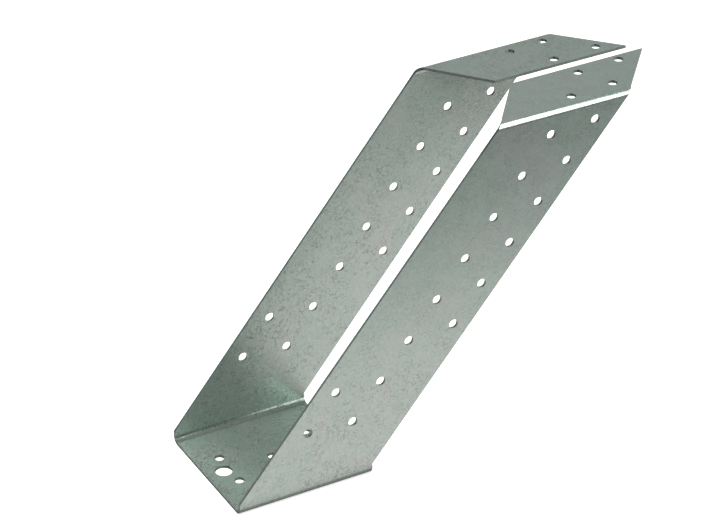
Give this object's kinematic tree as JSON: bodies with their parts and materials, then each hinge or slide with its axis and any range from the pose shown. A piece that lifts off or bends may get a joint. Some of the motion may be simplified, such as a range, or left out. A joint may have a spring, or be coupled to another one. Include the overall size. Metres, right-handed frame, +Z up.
{
  "type": "purlin anchor",
  "caption": "Folded sheet-steel anchor with a flat seat, slanting side legs and inturned lips, nailed to tie a roof timber to the member below it.",
  "frame": {"origin": "centre of the seat, on its underside, which is also the centre of the seat's four outer nail holes", "axes": "+Z up from the seat towards the lips; +X the way the legs lean; +Y towards the left leg, which has the lower top fold"},
  "size_m": [0.2498, 0.0782, 0.1854],
  "materials": {
    "galvanised_steel": "hot-dip galvanised, matt, faint spangle"
  },
  "bodies": {
    "root": {"anchor_sheet": "galvanised_steel"}
  },
  "joints": []
}
